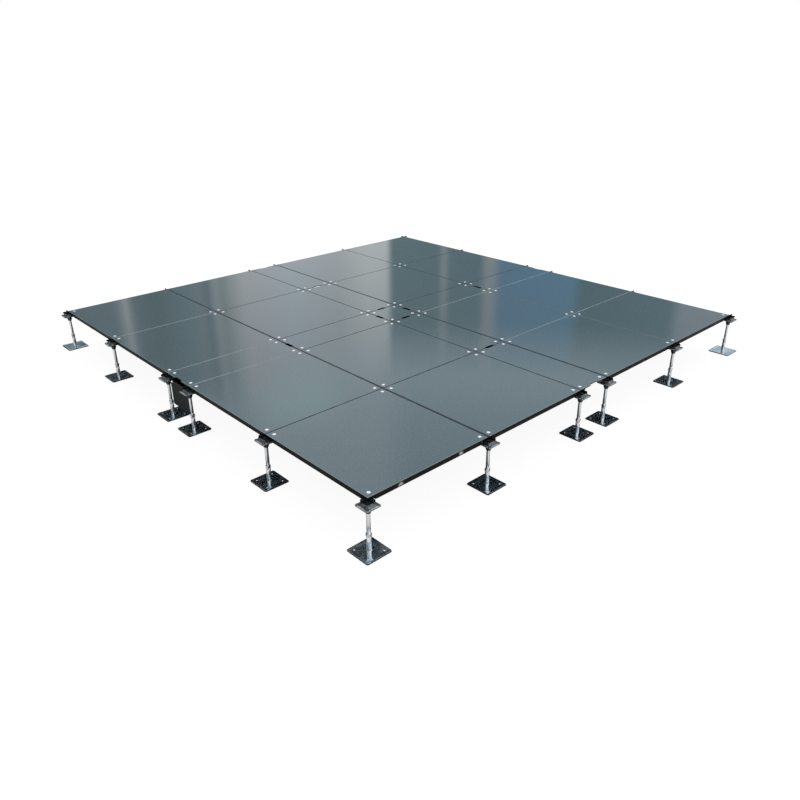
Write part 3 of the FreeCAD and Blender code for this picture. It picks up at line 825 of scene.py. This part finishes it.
# painted glow: faint light from the floor under the deck, seen only in reflections and bounce
fill = nt.nodes.new("ShaderNodeEmission")
fill.inputs["Color"].default_value = (0.90, 0.97, 1.0, 1.0)
link(nt, mix_value(nt, step(nt, deep, 1.33, 1.40), 0.05, 0.0), fill.inputs["Strength"])
back = nt.nodes.new("ShaderNodeAddShader")
link(nt, plain.outputs[0], back.inputs[0])
link(nt, fill.outputs[0], back.inputs[1])
lp = nt.nodes.new("ShaderNodeLightPath")
mix = nt.nodes.new("ShaderNodeMixShader")
link(nt, lp.outputs["Is Camera Ray"], mix.inputs[0])
link(nt, back.outputs[0], mix.inputs[1])
link(nt, add.outputs[0], mix.inputs[2])
link(nt, mix.outputs[0], out.inputs[0])
me.materials.append(fm)
floor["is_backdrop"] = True

# ---------------------------------------------------------------- light
world = bpy.data.worlds.new("studio")
scene.world = world
world.use_nodes = True
nt = world.node_tree
nt.nodes.clear()
out = nt.nodes.new("ShaderNodeOutputWorld")
bg = nt.nodes.new("ShaderNodeBackground")
link(nt, bg.outputs[0], out.inputs[0])
d = nt.nodes.new("ShaderNodeTexCoord").outputs["Generated"]


def dot(vec, c):
    n = nt.nodes.new("ShaderNodeVectorMath")
    n.operation = "DOT_PRODUCT"
    link(nt, vec, n.inputs[0])
    n.inputs[1].default_value = c
    return n.outputs["Value"]


fh = Vector((fwd.x, fwd.y, 0)).normalized()
rh = Vector((fh.y, -fh.x, 0))
az = math_node(nt, "ARCTAN2", dot(d, rh), dot(d, fh))          # 0 straight ahead, + to the right
az01 = math_node(nt, "ADD", math_node(nt, "DIVIDE", az, 2 * math.pi), 0.5)
el = math_node(nt, "ARCSINE", dot(d, (0, 0, 1)))


def deg(a):
    return 0.5 + a / 360.0


def fan(a):
    """Place of an azimuth within the 60 degrees straight ahead."""
    return 0.5 + a / 60.0


DIM = (0.115, 0.195, 0.215)
ahead = [(0.0, (0.115, 0.145, 0.155)), (fan(-22.6), (0.16, 0.21, 0.22)), (fan(-22.1), (0.42, 0.45, 0.44)),
         (fan(-21.75), (0.80, 0.78, 0.80)), (fan(-21.35), (0.24, 0.29, 0.28)), (fan(-20.9), (0.12, 0.15, 0.16)),
         (fan(-19.5), (0.06, 0.115, 0.11)), (fan(-18.6), (0.115, 0.165, 0.175)), (fan(-17.1), (0.17, 0.27, 0.29)),
         (fan(-16.1), (0.27, 0.32, 0.33)), (fan(-15.5), (0.14, 0.18, 0.21)), (fan(-14.9), (0.56, 0.60, 0.62)),
         (fan(-14.4), (0.39, 0.43, 0.42)), (fan(-13.5), (0.67, 0.72, 0.70)), (fan(-12.7), (0.96, 0.93, 0.96)),
         (fan(-9.0), (0.96, 1.05, 1.12)), (fan(-5.0), (0.91, 0.95, 0.96)), (fan(-2.6), (1.16, 1.18, 1.17)),
         (fan(-1.00), (1.14, 1.17, 1.17)), (fan(-0.58), (0.14, 0.23, 0.245)), (fan(3.2), DIM), (fan(3.65), (0.48, 0.52, 0.52)),
         (fan(4.1), DIM), (fan(6.6), (0.10, 0.18, 0.22)), (fan(7.15), (0.46, 0.49, 0.50)), (fan(7.7), (0.42, 0.46, 0.49)),
         (fan(8.3), (0.09, 0.26, 0.48)), (fan(14.0), (0.09, 0.30, 0.52)), (fan(14.9), (0.05, 0.125, 0.15)),
         (fan(21.6), (0.11, 0.20, 0.24)), (fan(22.5), (0.46, 0.50, 0.56)), (1.0, (0.56, 0.58, 0.61))]
around = [(0.0, (0.55, 0.57, 0.58)), (deg(-140), (0.15, 0.17, 0.18)), (deg(-110), (0.80, 0.82, 0.82)),
          (deg(-80), (0.70, 0.72, 0.73)), (deg(-60), (0.16, 0.18, 0.19)), (deg(-30), (0.105, 0.120, 0.130)),
          (deg(30), (0.56, 0.57, 0.58)), (deg(34), (0.62, 0.63, 0.64)), (deg(60), (0.90, 0.90, 0.90)),
          (deg(115), (0.20, 0.22, 0.23)), (1.0, (0.55, 0.57, 0.58))]
az_fan = math_node(nt, "ADD", math_node(nt, "DIVIDE", az, math.radians(60.0)), 0.5)
wide_of = math_node(nt, "GREATER_THAN", math_node(nt, "ABSOLUTE", az), math.radians(30.0))
low = mix_color(nt, wide_of, ramp(nt, az_fan, ahead), ramp(nt, az01, around))
el01 = math_node(nt, "DIVIDE", el, math.pi / 2)
sky = ramp(nt, el01, [(0.0, (0.62, 0.74, 0.82)), (0.28, (0.71, 0.87, 0.95)), (0.31, (0.60, 0.75, 0.84)),
                      (0.37, (0.52, 0.62, 0.68)), (0.55, (0.85, 0.88, 0.92)), (1.0, (1.25, 1.25, 1.25))])
# the bright bank straight ahead carries on up into the sky
bank = math_node(nt, "MULTIPLY", step(nt, az, math.radians(-14.5), math.radians(-10.5)),
                 step(nt, az, math.radians(1.5), math.radians(-2.5)))
bank = math_node(nt, "MULTIPLY", bank, step(nt, el, math.radians(50), math.radians(36)))
green = math_node(nt, "MULTIPLY", step(nt, az, math.radians(-4), math.radians(-8)), step(nt, el01, 0.320, 0.285))
tone = mix_color(nt, green, (1.00, 1.10, 1.18), (1.08, 1.45, 1.36))
sky = mix_color(nt, math_node(nt, "MULTIPLY", bank, 0.80), sky, tone)
# skyline: lower to the right
skyline = ramp(nt, az01, [(deg(-40), grey(0.262)), (deg(-12), grey(0.258)), (deg(0), grey(0.220)), (deg(40), grey(0.214))])
h = math_node(nt, "DIVIDE", math_node(nt, "SUBTRACT", el01, skyline), 0.045, clamp=True)
shape = mix_color(nt, h, low, sky)
# away from the view ahead, the left is dim and the right is bright
side_on = step(nt, dot(d, (fh.x, fh.y, 0.0)), 0.55, 0.1)
slant = math_node(nt, "ADD", math_node(nt, "MULTIPLY", dot(d, (rh.x, rh.y, 0.0)), 0.70), 0.95)
slant = mix_value(nt, side_on, 1.0, slant)
scale = nt.nodes.new("ShaderNodeVectorMath")
scale.operation = "SCALE"
link(nt, shape, scale.inputs[0])
link(nt, slant, scale.inputs["Scale"])
shape = scale.outputs[0]
# soft light for the shading: brighter from above and from the right
side = math_node(nt, "MULTIPLY", dot(d, (rh.x, rh.y, 0.0)), 0.22)
soft = math_node(nt, "ADD", math_node(nt, "ADD", math_node(nt, "MULTIPLY", dot(d, (0, 0, 1)), 0.35), 0.76), side)
lp = nt.nodes.new("ShaderNodeLightPath")
col = mix_color(nt, lp.outputs["Is Glossy Ray"], soft, shape)
col = mix_color(nt, lp.outputs["Is Camera Ray"], col, (1.0, 1.0, 1.0))
link(nt, col, bg.inputs["Color"])
bg.inputs["Strength"].default_value = 1.0
world.cycles.sampling_method = "NONE"

scene.view_settings.view_transform = "Standard"
scene.view_settings.look = "None"

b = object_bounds()
